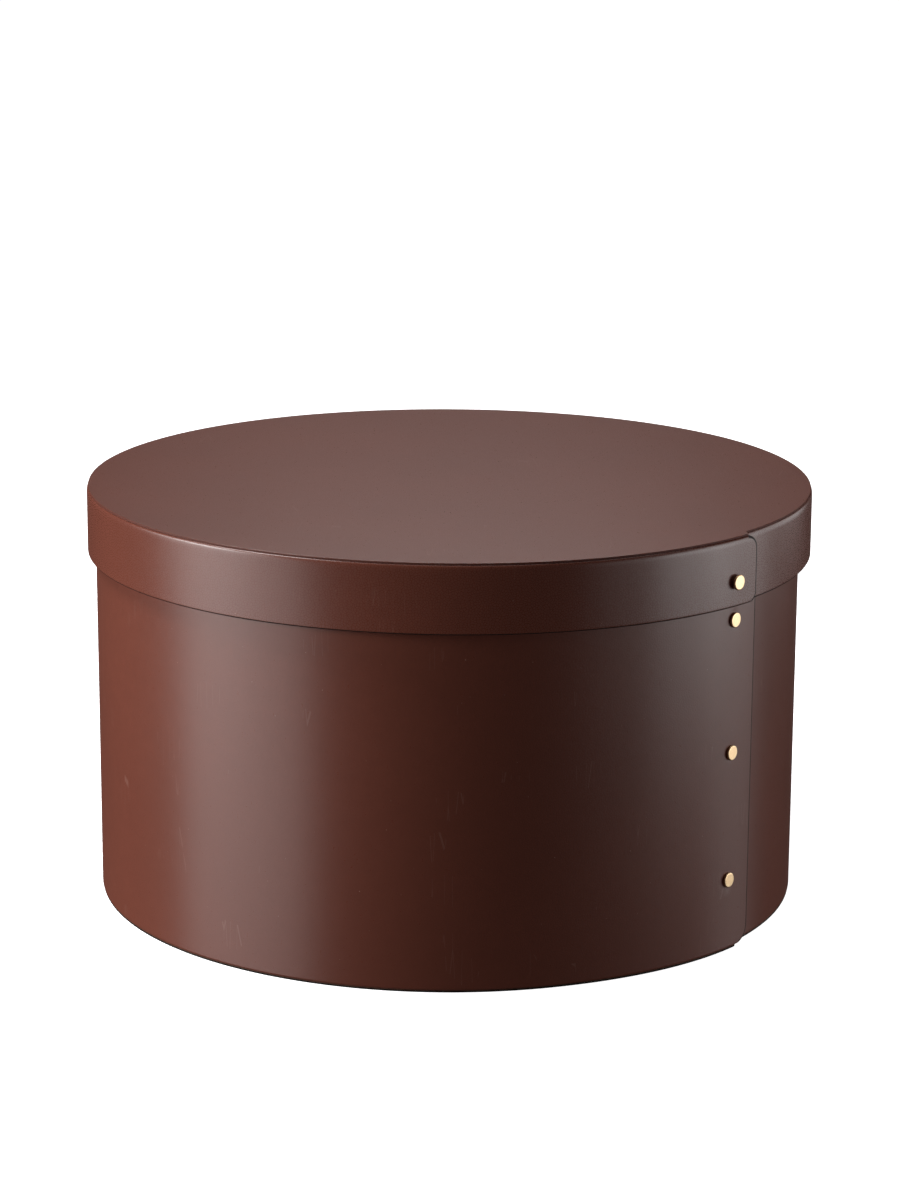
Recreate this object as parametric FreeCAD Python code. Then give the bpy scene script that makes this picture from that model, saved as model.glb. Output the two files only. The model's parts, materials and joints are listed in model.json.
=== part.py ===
import FreeCAD, Part

# Round leather storage box with a lift-off lid.
#
# The body's wall and the lid's band are each one leather strip bent into a ring. The strip's
# outer end laps over its skived inner end and brass rivets hold the lap. A stiff disc fills each
# ring's closed end, a thin leather sheet covers it and a lining sheet faces the inside.
#
# Frame: millimetres, +Z up, origin on the body's axis in the plane of the base. Angles are in
# degrees, from the front (-Y) towards +X.
import math
import os

V = FreeCAD.Vector
UP = V(0, 0, 1)

# The whole box.
HEIGHT = 171.8
SHEET = 0.8              # covering leather on the lid's top and on the base
BOARD = 3.0              # stiff disc
LINING = 0.5
LEATHER = 3.0            # wall and band strips
PLY_GAP = 0.1            # between the two plies of a lap
SHEET_INSET = 0.3        # the covering sheet's edge, inside the strip's outer face
BOARD_GAP = 0.15         # around the stiff discs
LINING_MARGIN = 0.6      # a lining is this much smaller in radius than its disc
EDGE_ROUND = 0.7         # free edges of a strip's outer face
REST_GAP = 0.05          # between the wall's rim and the lid's lining

# Strips. radius: the plain outer face. lap: how far the outer ply's end stands out. Angles:
# seam is the outer ply's end, rise where it starts to stand out, tail the inner ply's hidden end,
# settle where the inner ply is back on the plain circle. skive is taken off the inner ply's
# inside, in full up to skive_full and none from skive_end. centre is the ring's axis along X.
BODY = dict(
    radius=145.9, lap=2.6, seam=54.9, rise=16.0, tail=28.0, settle=88.0,
    skive=0.0, skive_full=60.0, skive_end=80.0,
    bottom=SHEET, top=HEIGHT - SHEET - BOARD - LINING - REST_GAP,
    corner_bottom=7.0, corner_top=5.0, centre=0.0,
)
LID = dict(
    radius=150.0, lap=2.8, seam=51.8, rise=-25.0, tail=28.0, settle=85.0,
    skive=1.25, skive_full=58.0, skive_end=80.0,
    bottom=144.0, top=HEIGHT - SHEET,
    corner_bottom=4.0, corner_top=6.0, centre=0.75,
)
SAMPLE_STEP = 4.0        # degrees between points of a lap's curve
TOP_STEP_RUN = 3.3       # length along the rim over which the top sheet's edge steps off the lap
BASE_STEP_RUN = 6.0      # the same for the base sheet
BASE_STEP_LEAD = 2.0     # the base sheet's step starts this far before the wall's rounded corner

# Rivets.
HEAD_RADIUS = 3.05
HEAD = 0.9
HEAD_ROUND = 0.3
SHANK_RADIUS = 1.2
TAIL_RADIUS = 1.7        # the shank's end is spread to this in the burr's countersink
HOLE_PLAY = 0.05
SEAT_PLAY = 0.07         # a flat head or burr on the curved leather touches along one line only
BURR_RADIUS = 3.0
BURR = 0.5
BODY_RIVET_ANGLE = 49.2
BODY_RIVETS = dict(upper=136.8, middle=82.7, lower=29.9)
LID_RIVET_ANGLE = 46.7
LID_RIVET_Z = 154.0
LID_RIVET_STAND_OFF = 1.0


def smooth(x):
    """Rise from 0 to 1 with no slope at either end."""
    x = min(max(x, 0.0), 1.0)
    return x * x * (3 - 2 * x)


def at(radius, angle, z=0.0):
    a = math.radians(angle)
    return V(radius * math.sin(a), -radius * math.cos(a), z)


def lap_face(strip, angle):
    """Outer face of the outer ply."""
    run = (angle - strip["rise"]) / (strip["seam"] - strip["rise"])
    return strip["radius"] + strip["lap"] * smooth(run)


def under_face(strip, angle):
    """Outer face of the inner ply: under the lap, and where it settles beyond the seam."""
    if angle <= strip["seam"]:
        return lap_face(strip, angle) - LEATHER - PLY_GAP
    dip = LEATHER + PLY_GAP - strip["lap"]
    run = (strip["settle"] - angle) / (strip["settle"] - strip["seam"])
    return strip["radius"] - dip * smooth(run)


def skived_face(strip, angle):
    """Inner face of the inner ply, which is thinned from the inside on the lid."""
    run = (strip["skive_end"] - angle) / (strip["skive_end"] - strip["skive_full"])
    return strip["radius"] - LEATHER + strip["skive"] * smooth(run)


def curve(face, strip, start, end, offset=0.0):
    """Spline through a face's formula from one angle to another."""
    count = max(2, math.ceil(abs(end - start) / SAMPLE_STEP))
    angles = [start + (end - start) * i / count for i in range(count + 1)]
    spline = Part.BSplineCurve()
    spline.interpolate([at(face(strip, a) + offset, a) for a in angles])
    return spline.toShape()


def arc(radius, start, end):
    """Round stretch between two angles, which may pass 180 degrees."""
    middle = (start + end) / 2
    return Part.Arc(at(radius, start), at(radius, middle), at(radius, end)).toShape()


def across(angle, start_radius, end_radius):
    return Part.LineSegment(at(start_radius, angle), at(end_radius, angle)).toShape()


def prism(edges, bottom, top):
    face = Part.Face(Part.Wire(Part.__sortEdges__(edges)))
    solid = face.extrude(UP * (top - bottom))
    solid.translate(UP * bottom)
    return solid


def strip_ring(strip):
    """One strip bent into a ring, its ends lapped."""
    seam, rise, tail = strip["seam"], strip["rise"], strip["tail"]
    settle, skive_end = strip["settle"], strip["skive_end"]
    radius = strip["radius"]
    lap_end = lap_face(strip, seam)
    edges = [
        curve(lap_face, strip, seam, rise),
        arc(radius, rise, settle - 360),
        curve(under_face, strip, settle, tail),
        across(tail, under_face(strip, tail), skived_face(strip, tail)),
        curve(skived_face, strip, tail, skive_end),
        arc(radius - LEATHER, skive_end - 360, rise),
        curve(lap_face, strip, rise, seam, -LEATHER),
        across(seam, lap_end - LEATHER, lap_end),
    ]
    return prism(edges, strip["bottom"], strip["top"])


def corner_cutter(strip, z, radius, upward):
    """What rounding the outer ply's free corner takes off, and nothing of the ply beneath."""
    seam = strip["seam"]
    outer = strip["radius"] + strip["lap"]
    inner = outer - LEATHER - 0.6 * PLY_GAP
    margin = 1.0
    block = Part.makeBox(2 * LEATHER + margin, radius + margin, radius + margin)
    low = z - radius if upward else z - margin
    block.translate(V(outer - 2 * LEATHER, -radius, low))
    pivot = V(outer - 2 * LEATHER - margin, -radius, z - radius if upward else z + radius)
    block = block.cut(Part.makeCylinder(radius, 2 * LEATHER + 3 * margin, pivot, V(1, 0, 0)))
    block = block.cut(Part.makeCylinder(inner, 4 * radius, V(0, 0, z - 2 * radius), UP))
    block.rotate(V(0, 0, 0), UP, seam - 90)
    return block


def round_corners(strip, ring):
    ring = ring.cut(corner_cutter(strip, strip["top"], strip["corner_top"], True))
    return ring.cut(corner_cutter(strip, strip["bottom"], strip["corner_bottom"], False))


def soften(strip, ring):
    """Round the outer face's edges: its two rims, the lap's end and the end's corners."""
    edges = []
    for edge in ring.Edges:
        middle = edge.valueAt((edge.FirstParameter + edge.LastParameter) / 2)
        radius = math.hypot(middle.x, middle.y)
        on_rim = any(abs(middle.z - strip[end]) < 1e-3 for end in ("top", "bottom"))
        floor = strip["radius"] - 1 if on_rim else strip["radius"] + strip["lap"] - 0.1
        if radius > floor and edge.Length > 2 * LEATHER:
            edges.append(edge)
    return ring.makeFillet(EDGE_ROUND, edges)


def finished_strip(strip):
    return soften(strip, round_corners(strip, strip_ring(strip)))


def radial(shape, angle, z):
    """Place a shape made along +X on the radius at this angle and height."""
    shape.rotate(V(0, 0, 0), UP, angle - 90)
    shape.translate(UP * z)
    return shape


def rod(radius, start, end):
    return Part.makeCylinder(radius, end - start, V(start, 0, 0), V(1, 0, 0))


def cone(start_radius, end_radius, start, end):
    return Part.makeCone(start_radius, end_radius, end - start, V(start, 0, 0), V(1, 0, 0))


def rivet_hole(strip, angle, z, recess):
    """Hole through both plies, with an optional seat for the burr."""
    outside = strip["radius"] + strip["lap"] + 1
    back = skived_face(strip, angle)
    hole = rod(SHANK_RADIUS + HOLE_PLAY, back - 1, outside)
    if recess:
        hole = hole.fuse(rod(BURR_RADIUS + HOLE_PLAY, back - 1, back + recess))
    return radial(hole, angle, z)


def rivet(strip, angle, z, stand_off, back):
    """Flat-headed rivet whose shank ends, spread, in the burr."""
    seat = lap_face(strip, angle) + stand_off
    head = rod(HEAD_RADIUS, seat, seat + HEAD)
    rim = [e for e in head.Edges if abs(e.CenterOfMass.x - seat - HEAD) < 1e-6]
    head = head.makeFillet(HEAD_ROUND, rim)
    shank = rod(SHANK_RADIUS, back + BURR, seat)
    tail = cone(TAIL_RADIUS, SHANK_RADIUS, back, back + BURR)
    return radial(head.fuse(shank).fuse(tail).removeSplitter(), angle, z)


def burr(angle, z, back):
    """Washer on the inside, countersunk for the shank's spread end."""
    ring = rod(BURR_RADIUS, back, back + BURR)
    sink = cone(TAIL_RADIUS + HOLE_PLAY, SHANK_RADIUS + HOLE_PLAY, back, back + BURR)
    return radial(ring.cut(sink), angle, z)


def cover_sheet(strip, start, run, bottom):
    """Thin leather over a closed end, trimmed to the strip's outline inside the rounded edge.

    Its edge steps off the lap over a length run, from start before the outer ply's end.
    """
    seam, rise, settle = strip["seam"], strip["rise"], strip["settle"]
    radius = strip["radius"] - SHEET_INSET
    leave = seam - math.degrees(start / strip["radius"])
    land = leave + math.degrees(run / strip["radius"])
    step_start = at(lap_face(strip, leave) - SHEET_INSET, leave)
    step_end = at(under_face(strip, land) - SHEET_INSET, land)
    edges = [
        curve(lap_face, strip, leave, rise, -SHEET_INSET),
        arc(radius, rise, settle - 360),
        curve(under_face, strip, settle, land, -SHEET_INSET),
        Part.LineSegment(step_end, step_start).toShape(),
    ]
    return prism(edges, bottom, bottom + SHEET)


def disc(radius, bottom, thickness):
    return Part.makeCylinder(radius, thickness, V(0, 0, bottom), UP)


def body_parts():
    parts = {}
    wall = finished_strip(BODY)
    back = skived_face(BODY, BODY_RIVET_ANGLE) - BURR - SEAT_PLAY
    for name, z in BODY_RIVETS.items():
        wall = wall.cut(rivet_hole(BODY, BODY_RIVET_ANGLE, z, 0))
        parts["body_rivet_" + name] = rivet(BODY, BODY_RIVET_ANGLE, z, SEAT_PLAY, back)
        parts["body_burr_" + name] = burr(BODY_RIVET_ANGLE, z, back)
    parts["body_wall"] = wall
    board_radius = BODY["radius"] - LEATHER - BOARD_GAP
    step_start = BODY["corner_bottom"] + BASE_STEP_LEAD
    parts["base_leather"] = cover_sheet(BODY, step_start, BASE_STEP_RUN, 0)
    parts["base_board"] = disc(board_radius, SHEET, BOARD)
    parts["base_lining"] = disc(board_radius - LINING_MARGIN, SHEET + BOARD, LINING)
    return parts


def lid_parts():
    parts = {}
    back = skived_face(LID, LID_RIVET_ANGLE)
    band = finished_strip(LID)
    parts["lid_band"] = band.cut(rivet_hole(LID, LID_RIVET_ANGLE, LID_RIVET_Z, BURR))
    parts["lid_rivet"] = rivet(LID, LID_RIVET_ANGLE, LID_RIVET_Z, LID_RIVET_STAND_OFF, back)
    parts["lid_burr"] = burr(LID_RIVET_ANGLE, LID_RIVET_Z, back)
    board_radius = LID["radius"] - LEATHER - BOARD_GAP
    under_board = LID["top"] - BOARD
    parts["lid_leather"] = cover_sheet(LID, LID["corner_top"], TOP_STEP_RUN, LID["top"])
    parts["lid_board"] = disc(board_radius, under_board, BOARD)
    parts["lid_lining"] = disc(board_radius - LINING_MARGIN, under_board - LINING, LINING)
    for shape in parts.values():
        shape.translate(V(LID["centre"], 0, 0))
    return parts


os.makedirs("parts", exist_ok=True)
for node, solid in {**body_parts(), **lid_parts()}.items():
    solid.exportStep("parts/%s.step" % node)
    box = solid.BoundBox
    print("%-18s solids %d valid %s volume %.1f z %.2f..%.2f" % (
        node, len(solid.Solids), solid.isValid(), solid.Volume, box.ZMin, box.ZMax))
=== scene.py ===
import json
import math
from dataclasses import dataclass, field

import bpy
from mathutils import Matrix, Vector

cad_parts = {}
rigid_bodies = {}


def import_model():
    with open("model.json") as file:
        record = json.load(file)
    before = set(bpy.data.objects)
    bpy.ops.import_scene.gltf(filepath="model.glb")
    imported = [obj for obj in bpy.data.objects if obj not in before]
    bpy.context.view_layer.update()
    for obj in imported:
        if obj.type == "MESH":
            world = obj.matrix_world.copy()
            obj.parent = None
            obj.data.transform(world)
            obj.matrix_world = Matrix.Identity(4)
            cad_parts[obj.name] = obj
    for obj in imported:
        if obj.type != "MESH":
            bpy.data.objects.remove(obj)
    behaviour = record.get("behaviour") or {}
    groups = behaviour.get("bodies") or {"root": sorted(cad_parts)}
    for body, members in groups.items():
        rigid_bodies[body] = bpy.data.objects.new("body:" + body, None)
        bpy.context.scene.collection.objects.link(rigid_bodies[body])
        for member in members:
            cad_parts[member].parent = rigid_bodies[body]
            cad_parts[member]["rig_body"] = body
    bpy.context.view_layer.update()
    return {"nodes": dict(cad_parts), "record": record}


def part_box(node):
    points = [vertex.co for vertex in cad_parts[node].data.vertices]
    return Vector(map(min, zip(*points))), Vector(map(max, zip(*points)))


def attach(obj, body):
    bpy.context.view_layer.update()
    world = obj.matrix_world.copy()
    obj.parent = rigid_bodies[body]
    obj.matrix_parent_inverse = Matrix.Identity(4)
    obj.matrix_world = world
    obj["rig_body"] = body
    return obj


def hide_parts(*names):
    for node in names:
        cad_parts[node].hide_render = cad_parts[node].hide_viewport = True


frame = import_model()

MM = 0.001
MOUNTS = {mount["name"]: Vector(mount["pos_m"]) for mount in frame["record"]["mounts"]}
BODY_CENTRE = MOUNTS["base_face"].x
LID_CENTRE = MOUNTS["lid_top_face"].x

# Leather strips.
LEATHER = 3.0 * MM
PLY_GAP = 0.1 * MM           # between the two plies of a lap
EDGE_ROUND = 0.7 * MM        # outer edges
FLESH_ROUND = 0.25 * MM      # inner edges
TAIL_CORNER = 1.2 * MM       # corners of the hidden inner end
BORDER = 0.35 * MM           # line beside the outer ply's end, painted dark: painted shade of the step, partly an edge crease
ROLL_HEIGHT = 3.0 * MM       # how far under the top edge a strip's face starts to turn in
ROLL_STEPS = 6               # rows of mesh over that height
WAVE = 0.05 * MM             # unevenness of a strip bent by hand
WAVE_RUNS = (0.041, 0.09, 0.031, 0.067)
PRESSED = 0.03 * MM          # how far a rivet's head sinks the leather round it

# Covering sheets.
TOP_INSET = 0.6 * MM         # the top sheet's edge, inside the band's outer face
BASE_INSET = 0.3 * MM        # the same for the base sheet
TOP_STEP_RUN = 3.3 * MM      # rim length over which the top sheet's edge steps off the lap
BASE_STEP_RUN = 6.0 * MM     # the same for the base sheet
BASE_STEP_LEAD = 2.0 * MM    # how far before the wall's rounded corner the base sheet's starts
SHEET_ROUND = 0.18 * MM
DISC_ROUND = 0.15 * MM       # boards and linings

# Rivets.
HEAD = 0.9 * MM
HEAD_ROUND = 0.42 * MM
HEAD_FOOT_ROUND = 0.12 * MM
SHANK_RADIUS = 1.2 * MM
TAIL_RADIUS = 1.7 * MM
BURR_RADIUS = 3.0 * MM
BURR = 0.5 * MM
BURR_ROUND = 0.15 * MM
HOLE_PLAY = 0.05 * MM
SEAT_SLOPE = 0.25 * MM       # width of the slope round a burr's seat

# Mesh fineness.
STATION = 1.0                # degrees between a strip's columns
ROW = 7.0 * MM
HOLD = 0.25 * MM             # a flat face's last row before a rounded edge
CORNER_STEPS = 8
ROUND_STEPS = 6
WINDOW = 5.0 * MM            # half the square of mesh that is drawn in to a rivet's hole
WINDOW_STEPS = 8
TURNED_SEGMENTS = 64
FINE = 0.25                  # degrees between a disc's columns near the end of a lap
FINE_BEFORE = 8
FINE_AFTER = 3
DISC_RINGS = [0.04, 0.1, 0.18, 0.28, 0.38, 0.48, 0.58, 0.68, 0.78, 0.86, 0.92, 0.96, 0.985]


def smooth(x):
    """Rise from 0 to 1 with no slope at either end."""
    x = min(max(x, 0.0), 1.0)
    return x * x * (3 - 2 * x)


def quarter(radius, steps=ROUND_STEPS):
    """Points (outward, depth) of a rounded edge, from the face round to the side."""
    turns = [math.pi / 2 * i / steps for i in range(1, steps + 1)]
    return [(radius * math.sin(t), radius * (1 - math.cos(t))) for t in turns]


def spread(start, stop, step):
    count = max(1, round((stop - start) / step))
    return [start + (stop - start) * i / count for i in range(count + 1)]


def refine(values, middles, reach, steps):
    """Values with the stretch round each middle replaced by even steps."""
    for middle in middles:
        low, high = middle - reach, middle + reach
        fine = [low + (high - low) * i / steps for i in range(steps + 1)]
        clear = (high - low) / steps / 2
        values = [v for v in values if not low - clear < v < high + clear] + fine
    return sorted(values)


def ring_point(radius, angle, z, centre):
    a = math.radians(angle)
    return Vector((centre + radius * math.sin(a), -radius * math.cos(a), z))


def axis_reach(node, centre, angle):
    """Nearest and furthest distance of a CAD node's points along a radius of the box."""
    a = math.radians(angle)
    places = [v.co for v in frame["nodes"][node].data.vertices]
    along = [(p.x - centre) * math.sin(a) - p.y * math.cos(a) for p in places]
    return min(along), max(along)


def box_middle(node):
    low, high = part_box(node)
    return (low + high) / 2


@dataclass
class Hole:
    """A rivet's hole through one ply. pressed is how deep the head sinks into the grain face, and
    seat is how deep the burr sits in the flesh side."""
    u: float
    z: float
    pressed: float = 0.0
    seat: float = 0.0

    def grain_depth(self, distance):
        edge = BURR_RADIUS
        return self.pressed * (1 - smooth((distance - edge) / (WINDOW - edge)))

    def flesh_depth(self, distance):
        edge = BURR_RADIUS + HOLE_PLAY
        return LEATHER - self.seat * (1 - smooth((distance - edge) / SEAT_SLOPE))


@dataclass
class Strip:
    """A leather strip bent into a ring with lapped ends, drawn from flat (u, z, w) coordinates.

    u runs along the strip from its hidden inner end, z is up, and w is the depth under the grain
    face. seam is the outer ply's end, rise where it starts to stand out, tail the inner ply's end,
    settle where the inner ply is back on the plain circle, and skive what its inside is thinned by.
    """
    node: str
    centre: float
    rise: float
    seam: float
    tail: float
    settle: float
    skive: float
    skive_full: float
    skive_end: float
    corner_low: float
    corner_high: float
    roll: float                  # how far the face turns in at the top edge
    foot_shade_step: int               # step of the lower rounded edge from which it is painted dark, as painted shade under the edge
    holes: list = field(default_factory=list)

    def __post_init__(self):
        low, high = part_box(self.node)
        self.low, self.high = low.z, high.z
        places = [v.co for v in frame["nodes"][self.node].data.vertices]
        self.radius = max(math.hypot(p.x - self.centre, p.y) for p in places if p.y > 0)
        self.lap = max(math.hypot(p.x - self.centre, p.y) for p in places) - self.radius
        self.length = self.along(360 + self.seam)

    def along(self, angle):
        """Flat coordinate of an angle, which passes 360 degrees in the outer ply."""
        return self.radius * math.radians(angle - self.tail)

    def angle(self, u):
        return self.tail + math.degrees(u / self.radius)

    def lap_face(self, angle):
        return self.radius + self.lap * smooth((angle - self.rise) / (self.seam - self.rise))

    def under_face(self, angle):
        if angle <= self.seam:
            return self.lap_face(angle) - LEATHER - PLY_GAP
        dip = LEATHER + PLY_GAP - self.lap
        return self.radius - dip * smooth((self.settle - angle) / (self.settle - self.seam))

    def faces(self, angle):
        """Radii of the grain face and the flesh side."""
        if angle > 360 + self.rise:
            outer = self.lap_face(angle - 360)
            return outer, outer - LEATHER
        outer = self.under_face(angle) if angle < self.settle else self.radius
        run = (self.skive_end - angle) / (self.skive_end - self.skive_full)
        return outer, self.radius - LEATHER + self.skive * smooth(run)

    def place(self, u, z, w):
        outer, inner = self.faces(self.angle(u))
        a, b, c, d = WAVE_RUNS
        wave = math.sin(u / a + z / b) + math.sin(z / c - u / d) - 2
        rolled = max(0.0, (z - self.high + ROLL_HEIGHT) / ROLL_HEIGHT) ** 3
        face = outer + WAVE * wave / 4 - self.roll * rolled
        depth = w / LEATHER * (face - inner)
        return ring_point(face - depth, self.angle(u), z, self.centre)

    def drill(self, angle, z, pressed, seat):
        """Add one rivet's holes through the outer and the inner ply."""
        self.holes.append(Hole(self.along(360 + angle), z, pressed=pressed))
        self.holes.append(Hole(self.along(angle), z, seat=seat))


RIVET_ANGLES = {"box": 49.2, "lid": 46.7}
BODY = Strip(
    "body_wall", centre=BODY_CENTRE, rise=16.0, seam=54.9, tail=28.0, settle=88.0,
    skive=0.0, skive_full=60.0, skive_end=80.0, corner_low=7 * MM, corner_high=5 * MM,
    roll=0.0, foot_shade_step=4,
)
LID = Strip(
    "lid_band", centre=LID_CENTRE, rise=-25.0, seam=51.8, tail=28.0, settle=85.0,
    skive=1.25 * MM, skive_full=58.0, skive_end=80.0, corner_low=4 * MM, corner_high=6 * MM,
    roll=0.38 * MM, foot_shade_step=2,
)
BODY_RIVETS = ("upper", "middle", "lower")
for place in BODY_RIVETS:
    BODY.drill(RIVET_ANGLES["box"], box_middle("body_rivet_" + place).z, PRESSED, 0.0)
LID.drill(RIVET_ANGLES["lid"], box_middle("lid_rivet").z, 0.0, BURR + 0.02 * MM)


# Meshes ---------------------------------------------------------------------------------------

class Surface:
    """Vertices, faces and material slots of a mesh while it is drawn."""

    def __init__(self):
        self.points, self.faces, self.slots = [], [], []

    def point(self, *coordinates):
        self.points.append(tuple(coordinates))
        return len(self.points) - 1

    def add(self, faces, slot):
        faces = list(faces)
        self.faces.extend(faces)
        self.slots.extend([slot] * len(faces))

    def bridge(self, above, below, slots, flip=False):
        """Quads between two closed loops of the same length, with one slot or one for each quad."""
        count = len(above)
        after = [i + 1 - count for i in range(count)]
        quads = [(above[i], below[i], below[j], above[j]) for i, j in enumerate(after)]
        self.faces.extend([quad[::-1] for quad in quads] if flip else quads)
        self.slots.extend([slots] * count if isinstance(slots, int) else slots)

    def piece(self, name, node, materials, placed=None):
        """Object with smooth shading that rides on its node's body and stands for the node."""
        used = sorted({point for face in self.faces for point in face})
        order = {point: i for i, point in enumerate(used)}
        places = [(placed or self.points)[point] for point in used]
        mesh = bpy.data.meshes.new(name)
        mesh.from_pydata(places, [], [[order[point] for point in face] for face in self.faces])
        for material in materials:
            mesh.materials.append(material)
        mesh.polygons.foreach_set("material_index", self.slots)
        mesh.polygons.foreach_set("use_smooth", [True] * len(self.faces))
        hide = mesh.attributes.new("hide", "FLOAT_VECTOR", "POINT")
        hide.data.foreach_set("vector", [x for point in used for x in self.points[point]])
        mesh.update()
        made = bpy.data.objects.new(name, mesh)
        bpy.context.scene.collection.objects.link(made)
        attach(made, frame["nodes"][node]["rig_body"])
        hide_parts(node)
        return made


def edge_chain(strip, upper, stations):
    """Points (u, z, normal u, normal z) along a strip's upper or lower edge, corners rounded."""
    side = 1.0 if upper else -1.0
    edge = strip.high if upper else strip.low
    end_corner = strip.corner_high if upper else strip.corner_low
    chain = []

    def corner(centre_u, radius, start, stop):
        for i in range(CORNER_STEPS + 1):
            t = math.radians(start + (stop - start) * i / CORNER_STEPS)
            nu, nz = math.cos(t), side * math.sin(t)
            chain.append((centre_u + radius * nu, edge - side * radius + radius * nz, nu, nz))

    corner(TAIL_CORNER, TAIL_CORNER, 180, 90)
    chain.extend((u, edge, 0.0, side) for u in stations)
    corner(strip.length - end_corner, end_corner, 90, 0)
    return chain


def face_grid(surface, lower, upper, rows, inset, depth):
    """Columns of points on a strip's face, inset from its outline."""
    grid = []
    for low, high in zip(lower, upper):
        start = [low[i] - inset * low[i + 2] for i in (0, 1)]
        stop = [high[i] - inset * high[i + 2] for i in (0, 1)]
        column = [[a + (b - a) * t for a, b in zip(start, stop)] for t in rows]
        grid.append([surface.point(u, z, depth) for u, z in column])
    return grid


def face_outline(grid, lower, upper):
    """Points and outward normals round a face, lower edge first."""
    last = len(grid[0]) - 1
    outline = [(column[0], end[2:]) for column, end in zip(grid, lower)]
    outline += [(point, (1.0, 0.0)) for point in grid[-1][1:last]]
    outline += [(column[-1], end[2:]) for column, end in zip(reversed(grid), reversed(upper))]
    outline += [(point, (-1.0, 0.0)) for point in reversed(grid[0][1:last])]
    return outline


def window_of(surface, grid, levels, hole):
    """First and last column and row of the mesh square round a hole; row 0 is below the levels."""
    def nearest(values, wanted):
        return min(range(len(values)), key=lambda i: abs(values[i] - wanted))

    row = len(grid[0]) // 2
    along = [surface.points[column[row]][0] for column in grid]
    first, last = (nearest(along, hole.u + side * WINDOW) for side in (-1, 1))
    low, high = (1 + nearest(levels, hole.z + side * WINDOW) for side in (-1, 1))
    return first, last, low, high


def hole_rings(surface, grid, window, hole, depth_at, flip):
    """Draw the mesh in from a square window to the hole's edge, and return that edge."""
    first, last, low, high = window
    loop = [grid[k][low] for k in range(first, last)]
    loop += [grid[last][j] for j in range(low, high)]
    loop += [grid[k][high] for k in range(last, first, -1)]
    loop += [grid[first][j] for j in range(high, low, -1)]
    places = [surface.points[v] for v in loop]
    turns = [math.atan2(z - hole.z, u - hole.u) for u, z, _ in places]
    seat = BURR_RADIUS + HOLE_PLAY
    radii = [4.3 * MM, 3.8 * MM, seat + 0.4 * MM, seat + 0.25 * MM, seat + 0.19 * MM, seat + 0.12 * MM]
    radii += [seat + 0.06 * MM, seat, seat - 0.15 * MM, 2.2 * MM, SHANK_RADIUS + 4 * HOLE_PLAY]
    radii += [SHANK_RADIUS + HOLE_PLAY]
    for radius in radii:
        ring = []
        for t in turns:
            u, z = hole.u + radius * math.cos(t), hole.z + radius * math.sin(t)
            ring.append(surface.point(u, z, depth_at(radius)))
        surface.bridge(loop, ring, 2 if flip else 0, not flip)
        loop = ring
    return loop


def edge_and_shade_from(strip, normal_u, normal_z):
    """Step of a strip's edge profile from which it takes the dark edge material. At the outer ply's end
    that is the border line and the whole rounding: painted shade of the step, partly an edge crease. On
    the lower edge it starts at the strip's own step, as painted shade under the edge. Elsewhere it is
    only the last step of the rounding and the cut side.
    """
    if normal_u > 0.05:
        return 0
    return strip.foot_shade_step if normal_z < -0.05 else ROUND_STEPS


def strip_piece(name, strip, materials):
    """The whole strip: grain face, rounded edges, cut sides, flesh side and rivet holes."""
    surface = Surface()
    last = strip.length - max(strip.corner_low, strip.corner_high) - TAIL_CORNER
    stations = spread(2 * TAIL_CORNER, last, math.radians(STATION) * strip.radius)
    stations = refine(stations, sorted({hole.u for hole in strip.holes}), WINDOW, WINDOW_STEPS)
    lower = edge_chain(strip, False, stations)
    upper = edge_chain(strip, True, stations)
    height = strip.high - strip.low
    levels = spread(strip.low + HOLD, strip.high - HOLD, ROW)
    levels = refine(levels, sorted({hole.z for hole in strip.holes}), WINDOW, WINDOW_STEPS)
    if strip.roll:
        start = strip.high - ROLL_HEIGHT
        levels = [z for z in levels if z < start - ROW / 4]
        levels += spread(start, strip.high - HOLD, ROLL_HEIGHT / ROLL_STEPS)
    rows = [0.0] + [(z - strip.low) / height for z in levels] + [1.0]

    faces = []
    for inset, depth, slot in ((EDGE_ROUND + BORDER, 0.0, 0), (FLESH_ROUND, LEATHER, 2)):
        grid = face_grid(surface, lower, upper, rows, inset, depth)
        windows = [window_of(surface, grid, levels, hole) for hole in strip.holes]
        flip = slot == 2

        def open_cell(k, j):
            return any(a <= k < b and c <= j < d for a, b, c, d in windows)

        cells = [(grid[k][j], grid[k + 1][j], grid[k + 1][j + 1], grid[k][j + 1])
                 for k in range(len(grid) - 1) for j in range(len(rows) - 1) if not open_cell(k, j)]
        surface.add([cell[::-1] for cell in cells] if flip else cells, slot)
        depths = [hole.flesh_depth if flip else hole.grain_depth for hole in strip.holes]
        edges = [hole_rings(surface, grid, window, hole, depth_at, flip)
                 for window, hole, depth_at in zip(windows, strip.holes, depths)]
        faces.append((face_outline(grid, lower, upper), edges))

    (grain_outline, grain_edges), (flesh_outline, flesh_edges) = faces
    for above, below in zip(grain_edges, flesh_edges):
        surface.bridge(above, below, 1, True)
    side = [(EDGE_ROUND, EDGE_ROUND + HOLD), (EDGE_ROUND, LEATHER - FLESH_ROUND - HOLD)]
    turned = [(0.0, 0.0)] + quarter(FLESH_ROUND)
    under = [(EDGE_ROUND - depth, LEATHER - outward) for outward, depth in reversed(turned)]
    loop = [point for point, _ in grain_outline]
    # painted shade: the outer ply's end and the lower rounded edges take the dark edge material
    edge_and_shade_starts = [edge_and_shade_from(strip, *normal) for _, normal in grain_outline]
    profile = [(0.0, 0.0)] + quarter(EDGE_ROUND) + side + under[:-1]
    for i, (outward, depth) in enumerate(profile):
        ring = []
        for point, (nu, nz) in grain_outline:
            u, z, _ = surface.points[point]
            reach = BORDER + outward
            ring.append(surface.point(u + reach * nu, z + reach * nz, depth))
        surface.bridge(loop, ring, [int(i >= start) for start in edge_and_shade_starts])
        loop = ring
    surface.bridge(loop, [point for point, _ in flesh_outline], 1)
    placed = [strip.place(*point) for point in surface.points]
    return surface.piece(name, strip.node, materials, placed)


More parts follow.
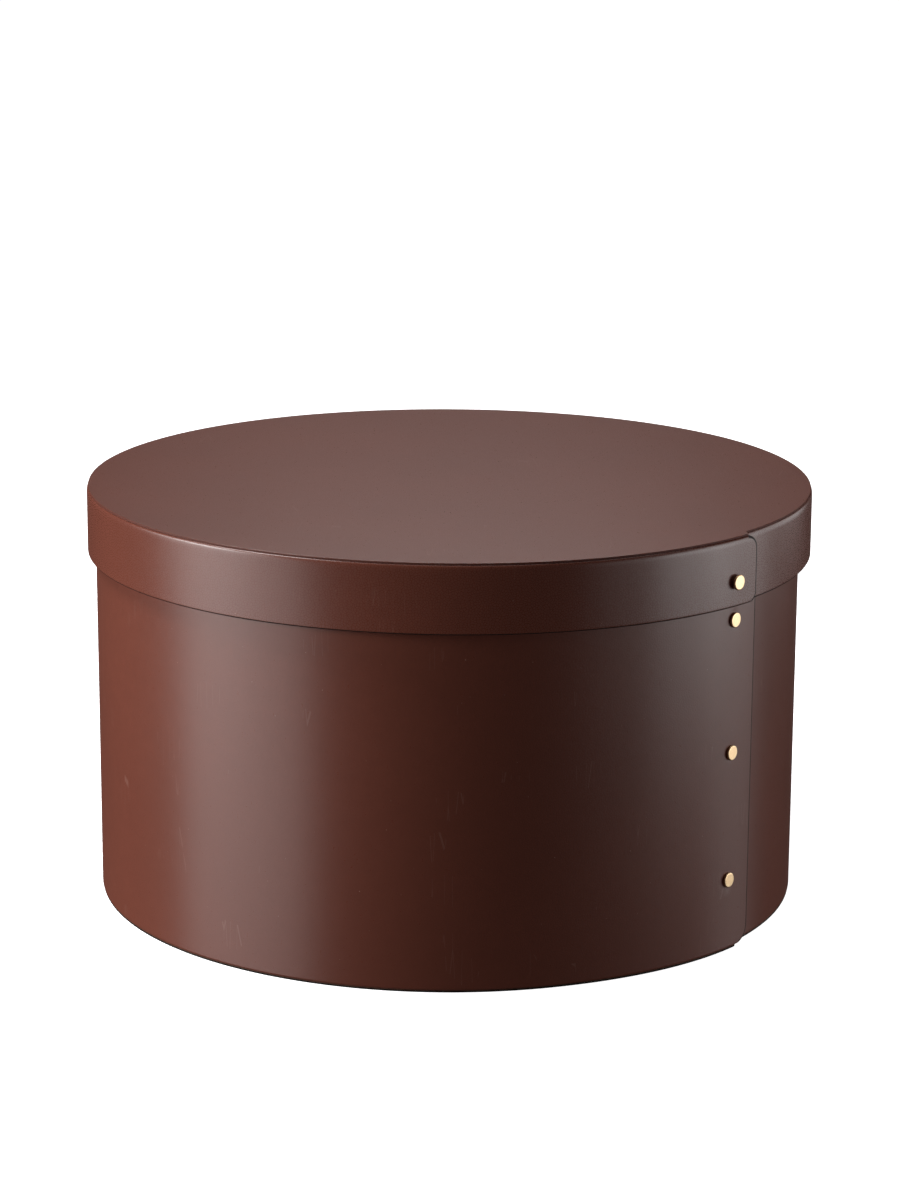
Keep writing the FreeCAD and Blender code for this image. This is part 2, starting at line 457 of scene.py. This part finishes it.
def sheet_radius(strip, inset, start, length, angle):
    """Outline of a covering sheet: the strip's own outline, stepping off the lap near its end."""
    leave = strip.seam - math.degrees(start / strip.radius)
    run = math.degrees(length / strip.radius)
    if angle <= leave:
        radius = strip.lap_face(angle)
    elif angle >= leave + run:
        radius = strip.under_face(angle)
    else:
        lap, under = strip.lap_face(angle), strip.under_face(angle)
        radius = lap + (under - lap) * smooth((angle - leave) / run)
    return radius - inset


def disc_piece(name, node, centre, outline, edge_round, materials, fine_at=0.0):
    """Thin disc of any outline, with rings of quads on both faces and a rounded edge."""
    surface = Surface()
    low, high = (corner.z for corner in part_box(node))
    fine = spread(fine_at - FINE_BEFORE, fine_at + FINE_AFTER, FINE)
    angles = sorted({round(a, 3) for a in fine} | {float(a) for a in range(-180, 180)})
    reach = outline(180.0)
    face = [(reach * (1 - t), 0.0) for t in DISC_RINGS] + [(edge_round + HOLD, 0.0), (edge_round, 0.0)]
    turned = [(edge_round - outward, depth) for outward, depth in quarter(edge_round)]
    upper = [(inset, high - depth) for inset, depth in face + turned]
    lower = [(inset, low + depth) for inset, depth in face + turned]
    profile = upper + lower[::-1]
    loops = []
    for inset, z in profile:
        share = 1 - inset / reach
        loops.append([surface.point(*ring_point(outline(a) * share, a, z, centre)) for a in angles])
    hub_high, hub_low = (surface.point(centre, 0.0, z) for z in (high, low))
    top_end = len(face) + len(turned) // 2
    base_start = len(profile) - len(face)
    for i, (above, below) in enumerate(zip(loops, loops[1:])):
        slot_index = 0 if i < top_end else 2 if i >= base_start else 1
        surface.bridge(above, below, slot_index)
    count = len(angles)
    surface.add([(hub_high, loops[0][i], loops[0][i + 1 - count]) for i in range(count)], 0)
    surface.add([(hub_low, loops[-1][i + 1 - count], loops[-1][i]) for i in range(count)], 2)
    return surface.piece(name, node, materials)


def turned_piece(name, node, centre, angle, profile, material, ends):
    """Profile of (distance along a radius of the box, radius) turned about that radius.

    ends is True where both ends of the profile are closed discs, and False for a ring.
    """
    surface = Surface()
    place = Matrix.Translation((centre, 0, box_middle(node).z))
    place = place @ Matrix.Rotation(math.radians(angle - 90), 4, "Z")
    loops = []
    for x, r in profile:
        turns = [2 * math.pi * i / TURNED_SEGMENTS for i in range(TURNED_SEGMENTS)]
        ring = [place @ Vector((x, r * math.cos(t), r * math.sin(t))) for t in turns]
        loops.append([surface.point(*spot) for spot in ring])
    for above, below in zip(loops, loops[1:]):
        surface.bridge(above, below, 0)
    if ends:
        surface.add([tuple(loops[0]), tuple(reversed(loops[-1]))], 0)
    else:
        surface.bridge(loops[-1], loops[0], 0)
    return surface.piece(name, node, [material])


def rivet(name, node, centre, angle, material):
    """Flat-headed rivet: rim and foot of the head rounded, shank's end spread over the burr."""
    back, face = axis_reach(node, centre, angle)
    low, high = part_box(node)
    radius = (high.z - low.z) / 2
    seat = face - HEAD
    rim = [(face - depth, radius - HEAD_ROUND + outward) for outward, depth in quarter(HEAD_ROUND)]
    foot = quarter(HEAD_FOOT_ROUND)
    foot = [(seat + depth, radius - HEAD_FOOT_ROUND + outward) for outward, depth in reversed(foot)]
    head = [(face, share * (radius - HEAD_ROUND)) for share in (0.1, 0.3, 0.55, 0.8, 0.95, 1.0)]
    shank = [(seat, SHANK_RADIUS + 2 * HOLE_PLAY), (seat - 2 * HOLE_PLAY, SHANK_RADIUS)]
    tail = [(back + BURR, SHANK_RADIUS), (back + HOLE_PLAY, TAIL_RADIUS - HOLE_PLAY)]
    tail += [(back, TAIL_RADIUS - 4 * HOLE_PLAY), (back, SHANK_RADIUS / 2)]
    tail += [(back + HOLE_PLAY, SHANK_RADIUS / 4)]
    return turned_piece(name, node, centre, angle, head + rim + foot + shank + tail, material, True)


def burr(name, node, centre, angle, material):
    """Washer with rounded edges, countersunk for the shank's spread end."""
    back, front = axis_reach(node, centre, angle)
    rim = [(back + depth, BURR_RADIUS - BURR_ROUND + outward) for outward, depth in quarter(BURR_ROUND)]
    foot = [(front - HOLE_PLAY, BURR_RADIUS), (front, BURR_RADIUS - HOLE_PLAY)]
    bore = [(front, SHANK_RADIUS + HOLE_PLAY), (back, TAIL_RADIUS + HOLE_PLAY)]
    crown = [(back, TAIL_RADIUS + 3 * HOLE_PLAY), (back, BURR_RADIUS - BURR_ROUND - HOLE_PLAY)]
    profile = crown + [(back, BURR_RADIUS - BURR_ROUND)] + rim + foot + bore
    return turned_piece(name, node, centre, angle, profile[::-1], material, False)


# Materials ------------------------------------------------------------------------------------
# A strip's pattern follows its flat leather, so it doesn't stretch where the strip bends.

class Nodes:
    """A material's node tree, with short calls to add and link nodes."""

    def __init__(self, name):
        self.material = bpy.data.materials.new(name)
        self.material.use_nodes = True
        self.tree = self.material.node_tree
        self.shader = self.tree.nodes["Principled BSDF"]

    def set(self, made, key, value):
        if isinstance(value, bpy.types.NodeSocket):
            self.tree.links.new(value, made.inputs[key])
        else:
            made.inputs[key].default_value = value

    def add(self, kind, inputs, output=0, **settings):
        made = self.tree.nodes.new("ShaderNode" + kind)
        for key, value in settings.items():
            setattr(made, key, value)
        for key, value in inputs.items():
            self.set(made, key, value)
        return made.outputs[output]

    def hide(self):
        """Place on the flat leather: along the strip, up it, and through its thickness."""
        return self.add("Attribute", {}, output=1, attribute_name="hide")

    def math(self, operation, a, b=0.0):
        return self.add("Math", {0: a, 1: b}, operation=operation)

    def remap(self, value, low, high, to_low=0.0, to_high=1.0):
        limits = {"From Min": low, "From Max": high, "To Min": to_low, "To Max": to_high}
        return self.add("MapRange", {"Value": value, **limits})

    def noise(self, place, scale, detail=2.0, rough=0.5):
        inputs = {"Vector": place, "Scale": scale, "Detail": detail, "Roughness": rough}
        return self.add("TexNoise", inputs)

    def turned(self, place, degrees, stretch):
        """Place turned in the plane of the leather, then stretched."""
        turn = (0, 0, math.radians(degrees))
        return self.add("Mapping", {"Vector": place, "Rotation": turn, "Scale": stretch})

    def mix(self, share, a, b):
        return self.add("Mix", {0: share, 6: a, 7: b}, output=2, data_type="RGBA")

    def finish(self, height, strength, distance, **inputs):
        bump = self.add("Bump", {"Strength": strength, "Distance": distance, "Height": height})
        self.set(self.shader, "Normal", bump)
        for key, value in inputs.items():
            self.set(self.shader, key.replace("_", " "), value)
        return self.material


def shade(colour, factor=1.0):
    return tuple(c * factor for c in colour) + (1.0,)


def grain_leather(name, colour, roughness, relief):
    """Smooth finished leather: fine grain, uneven dye, light specks and a few short scratches."""
    n = Nodes(name)
    place = n.hide()
    drift = n.add("TexNoise", {"Vector": place, "Scale": 450.0}, output=1)
    bent = n.add("VectorMath", {0: drift, 1: (0.0007, 0.0007, 0.0), 2: place}, operation="MULTIPLY_ADD")
    pebble = n.add("TexVoronoi", {"Vector": bent, "Scale": 950.0}, voronoi_dimensions="2D",
                   feature="DISTANCE_TO_EDGE")
    pebble = n.remap(pebble, 0.0, 0.3)
    streak = n.noise(n.turned(place, 65.0, (1.0, 0.4, 1.0)), 900.0, 3.0, 0.6)
    pore = n.noise(place, 3200.0, 2.0)
    mottle = n.noise(place, 170.0, 3.0, 0.6)
    cloud = n.noise(place, 13.0, 2.0)
    grain = n.math("ADD", n.math("MULTIPLY", pebble, 0.45), n.math("MULTIPLY", streak, 0.6))
    height = n.math("ADD", grain, n.math("MULTIPLY", pore, 0.25))

    cell = n.add("TexVoronoi", {"Vector": place, "Scale": 75.0}, voronoi_dimensions="2D")
    chosen = n.add("TexVoronoi", {"Vector": place, "Scale": 75.0}, output=1, voronoi_dimensions="2D")
    speck = n.math("LESS_THAN", cell, n.remap(chosen, 0.45, 1.0, 0.0, 0.018))
    lane = n.turned(place, -28.0, (1.0, 0.05, 1.0))
    scratch = n.add("TexVoronoi", {"Vector": lane, "Scale": 300.0}, voronoi_dimensions="2D",
                    feature="DISTANCE_TO_EDGE")
    rare = n.math("GREATER_THAN", n.noise(place, 42.0, 1.0), 0.66)
    scratch = n.math("MULTIPLY", n.math("LESS_THAN", scratch, 0.02), rare)
    mark = n.math("MAXIMUM", n.math("MULTIPLY", speck, 0.55), n.math("MULTIPLY", scratch, 0.13))

    dye = n.mix(n.remap(cloud, 0.35, 0.65), shade(colour, 0.95), shade(colour, 1.05))
    dye = n.mix(n.remap(mottle, 0.3, 0.7, 0.0, 0.4), dye, shade(colour, 0.85))
    dye = n.mix(n.remap(streak, 0.35, 0.65, 0.0, 0.3), dye, shade(colour, 0.8))
    dye = n.mix(mark, dye, (0.36, 0.22, 0.18, 1.0))
    gloss = n.remap(grain, 0.2, 0.8, roughness - 0.03, roughness + 0.03)
    return n.finish(height, relief, 0.00008, Base_Color=dye, Roughness=gloss)


def edge_leather(name, colour, roughness, specular):
    """Leather edge, slightly fibrous. On the top sheet it is the cut edge's own colour. On the strips'
    rounded edges and the base sheet's edge it is darkened as painted shade as well.
    """
    n = Nodes(name)
    fibre = n.noise(n.hide(), 1500.0, 4.0, 0.65)
    dye = n.mix(n.remap(fibre, 0.3, 0.7), shade(colour, 0.7), shade(colour, 1.3))
    return n.finish(fibre, 0.3, 0.00012, Base_Color=dye, Roughness=roughness,
                    Specular_IOR_Level=specular)


def flesh_leather(name):
    """Suede-like flesh side, dyed brown, its nap lying in patches."""
    n = Nodes(name)
    place = n.hide()
    nap = n.noise(n.turned(place, 20.0, (1.0, 0.5, 1.0)), 1100.0, 6.0, 0.7)
    cloud = n.noise(place, 25.0, 3.0)
    dye = n.mix(n.remap(cloud, 0.3, 0.7), (0.12, 0.05, 0.03, 1), (0.19, 0.085, 0.05, 1))
    dye = n.mix(n.remap(nap, 0.35, 0.65, 0.0, 0.5), dye, (0.08, 0.033, 0.02, 1))
    return n.finish(nap, 0.5, 0.0003, Base_Color=dye, Roughness=0.85)


def brass(name):
    """Polished brass with a fine haze and a few darker tarnished spots."""
    n = Nodes(name)
    place = n.hide()
    fine = n.noise(place, 2500.0, 3.0)
    tarnish = n.remap(n.noise(place, 900.0, 3.0, 0.6), 0.58, 0.72, 0.0, 0.5)
    metal = n.mix(n.remap(fine, 0.3, 0.7), (0.83, 0.58, 0.33, 1), (0.92, 0.69, 0.43, 1))
    metal = n.mix(tarnish, metal, (0.55, 0.36, 0.15, 1))
    gloss = n.remap(fine, 0.3, 0.7, 0.32, 0.44)
    return n.finish(fine, 0.1, 0.00004, Base_Color=metal, Roughness=gloss, Metallic=1.0)


def board(name):
    """Raw grey-brown board, fibrous."""
    n = Nodes(name)
    fibre = n.noise(n.hide(), 700.0, 5.0, 0.65)
    tone = n.mix(n.remap(fibre, 0.3, 0.7), (0.28, 0.23, 0.18, 1), (0.44, 0.38, 0.31, 1))
    return n.finish(fibre, 0.3, 0.0002, Base_Color=tone, Roughness=0.9)


def lining(name):
    """Brushed brown lining with a short, cloudy nap."""
    n = Nodes(name)
    place = n.hide()
    nap = n.noise(place, 1400.0, 5.0, 0.7)
    cloud = n.noise(place, 30.0, 4.0)
    tone = n.mix(n.remap(cloud, 0.3, 0.7), (0.10, 0.045, 0.032, 1), (0.15, 0.07, 0.05, 1))
    tone = n.mix(n.remap(nap, 0.35, 0.65, 0.0, 0.4), tone, (0.07, 0.03, 0.022, 1))
    return n.finish(nap, 0.5, 0.0003, Base_Color=tone, Roughness=0.95)


# The pieces -----------------------------------------------------------------------------------

COLOUR = (0.130, 0.0368, 0.0229)
wall_grain = grain_leather("leather_wall", COLOUR, 0.30, 0.22)
band_grain = grain_leather("leather_band", COLOUR, 0.28, 0.22)
cover_grain = grain_leather("leather_cover", COLOUR, 0.30, 0.035)
# dark edge material: the strips' cut sides and hole bores, and painted shade on their rounded edges
strip_edge_and_shade = edge_leather("leather_edge", (0.018, 0.008, 0.006), 0.6, 0.2)
top_edge = edge_leather("leather_edge_maroon", (0.09, 0.03, 0.022), 0.6, 0.15)
# near black: painted shade under the base sheet's edge, where the box stands on the floor
base_edge_shade = edge_leather("leather_edge_painted_shade", (0.006, 0.003, 0.0025), 0.7, 0.15)
flesh = flesh_leather("leather_flesh")
gold = brass("brass_polished")
card = board("board_grey")
felt = lining("lining_brushed")

strip_piece("wall", BODY, [wall_grain, strip_edge_and_shade, flesh])
strip_piece("band", LID, [band_grain, strip_edge_and_shade, flesh])


def top_outline(angle):
    return sheet_radius(LID, TOP_INSET, LID.corner_high, TOP_STEP_RUN, angle)


def base_outline(angle):
    start = BODY.corner_low + BASE_STEP_LEAD
    return sheet_radius(BODY, BASE_INSET, start, BASE_STEP_RUN, angle)


def plain_disc(name, node, centre, material):
    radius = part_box(node)[1].y
    disc_piece(name, node, centre, lambda angle: radius, DISC_ROUND, [material] * 3)


disc_piece("top_cover", "lid_leather", LID_CENTRE, top_outline, SHEET_ROUND,
           [cover_grain, top_edge, flesh], fine_at=LID.seam)
disc_piece("base_cover", "base_leather", BODY_CENTRE, base_outline, SHEET_ROUND,
           [flesh, base_edge_shade, wall_grain], fine_at=BODY.seam)
plain_disc("top_board", "lid_board", LID_CENTRE, card)
plain_disc("top_lining", "lid_lining", LID_CENTRE, felt)
plain_disc("base_stiffener", "base_board", BODY_CENTRE, card)
plain_disc("floor_lining", "base_lining", BODY_CENTRE, felt)

for place in BODY_RIVETS:
    rivet("rivet_" + place, "body_rivet_" + place, BODY_CENTRE, RIVET_ANGLES["box"], gold)
    burr("burr_" + place, "body_burr_" + place, BODY_CENTRE, RIVET_ANGLES["box"], gold)
rivet("rivet_lid", "lid_rivet", LID_CENTRE, RIVET_ANGLES["lid"], gold)
burr("burr_lid", "lid_burr", LID_CENTRE, RIVET_ANGLES["lid"], gold)


# Studio ---------------------------------------------------------------------------------------
# The set is white to the camera and dark to everything else, so that the box is lit and mirrored
# by the softboxes alone. They reach below the floor, because upright walls seen from above mirror
# what is lower than themselves.

FLOOR_SIZE = 40.0
FLOOR_DROP = 0.2 * MM        # keeps the floor out of the plane of the box's underside
FILL = 0.02                  # faint light from every side
STAND = 1.6                  # distance of the upright softboxes from the box's axis
PANEL = 0.46                 # their height, unless another is given
MIDDLE = (0.0, 0.0, 0.09)
LENS = 102.238
SENSOR = 36.0
CAMERA_PLACE = (0.00120, -1.38432, 0.47119)
LOOKING_DOWN = 14.253        # degrees
CAMERA_ROLL = 0.31


def make_world():
    world = bpy.data.worlds.new("studio")
    bpy.context.scene.world = world
    world.use_nodes = True
    tree = world.node_tree
    fill = tree.nodes["Background"]
    fill.inputs["Color"].default_value = (1, 1, 1, 1)
    fill.inputs["Strength"].default_value = FILL
    white = tree.nodes.new("ShaderNodeBackground")
    white.inputs["Color"].default_value = (1, 1, 1, 1)
    path = tree.nodes.new("ShaderNodeLightPath")
    mixer = tree.nodes.new("ShaderNodeMixShader")
    tree.links.new(path.outputs["Is Camera Ray"], mixer.inputs[0])
    tree.links.new(fill.outputs[0], mixer.inputs[1])
    tree.links.new(white.outputs[0], mixer.inputs[2])
    tree.links.new(mixer.outputs[0], tree.nodes["World Output"].inputs["Surface"])


def make_floor():
    mesh = bpy.data.meshes.new("floor")
    h = FLOOR_SIZE / 2
    corners = [(x, y, -FLOOR_DROP) for x, y in ((-h, -h), (h, -h), (h, h), (-h, h))]
    mesh.from_pydata(corners, [], [(0, 1, 2, 3)])
    floor = bpy.data.objects.new("floor", mesh)
    bpy.context.scene.collection.objects.link(floor)
    white = bpy.data.materials.new("floor_white")
    white.use_nodes = True
    shader = white.node_tree.nodes["Principled BSDF"]
    shader.inputs["Base Color"].default_value = (1, 1, 1, 1)
    shader.inputs["Roughness"].default_value = 1.0
    shader.inputs["Emission Color"].default_value = (1, 1, 1, 1)
    shader.inputs["Emission Strength"].default_value = 1.0
    mesh.materials.append(white)
    floor.visible_diffuse = False
    floor.visible_glossy = False
    floor.visible_transmission = False
    floor.visible_shadow = False


def softbox(name, place, target, size, radiance):
    light = bpy.data.lights.new(name, "AREA")
    light.shape = "RECTANGLE"
    light.size, light.size_y = size
    light.energy = math.pi * size[0] * size[1] * radiance
    lamp = bpy.data.objects.new(name, light)
    bpy.context.scene.collection.objects.link(lamp)
    aim = Vector(target) - Vector(place)
    lamp.matrix_world = Matrix.Translation(place) @ aim.to_track_quat("-Z", "Y").to_matrix().to_4x4()
    lamp.visible_camera = False


def upright_softbox(name, azimuth, z, width, radiance, height=PANEL):
    """Softbox stood round the box, facing its axis."""
    softbox(name, ring_point(STAND, azimuth, z, 0.0), (0, 0, z), (width, height), radiance)


def make_camera():
    camera = bpy.data.cameras.new("camera")
    camera.sensor_width = SENSOR
    camera.lens = LENS
    camera.clip_end = 100.0
    seat = bpy.data.objects.new("camera", camera)
    bpy.context.scene.collection.objects.link(seat)
    tilt = Matrix.Rotation(math.radians(90 - LOOKING_DOWN), 4, "X")
    roll = Matrix.Rotation(math.radians(CAMERA_ROLL), 4, "Z")
    seat.matrix_world = Matrix.Translation(CAMERA_PLACE) @ tilt @ roll
    bpy.context.scene.camera = seat


make_camera()
make_world()
make_floor()
upright_softbox("key_left", -78, 0.5, 0.6, 20.5)
upright_softbox("key_left_wide", -78, 0.5, 1.4, 4.6)
upright_softbox("low_left", -72, 0.0, 0.6, 2.1)
upright_softbox("low_left_wide", -70, 0.0, 1.5, 2.3)
upright_softbox("floor_left", -66, -0.45, 1.4, 2.1)
upright_softbox("front_right", 50, 0.0, 0.5, 0.8)
upright_softbox("low_right", 75, 0.0, 0.8, 4.0)
upright_softbox("side_right", 97, 0.0, 0.8, 2.7)
upright_softbox("floor_right", 100, -0.5, 0.7, 0.6)
upright_softbox("rear_right", 125, 0.2, 0.7, 1.5, height=0.7)
upright_softbox("high_right", 92, 0.5, 1.2, 1.8)
softbox("above_left", (-0.9, 0.0, 1.5), MIDDLE, (0.6, 0.6), 18.5)
softbox("above_right", (0.9, 0.0, 1.5), MIDDLE, (0.6, 0.6), 1.2)
softbox("above", (0.0, 0.0, 1.8), MIDDLE, (0.8, 0.8), 1.9)
softbox("back", (0.0, 2.4, 1.55), (0, 0, 1.55), (0.7, 0.35), 7.7)
bpy.context.scene.view_settings.view_transform = "Standard"
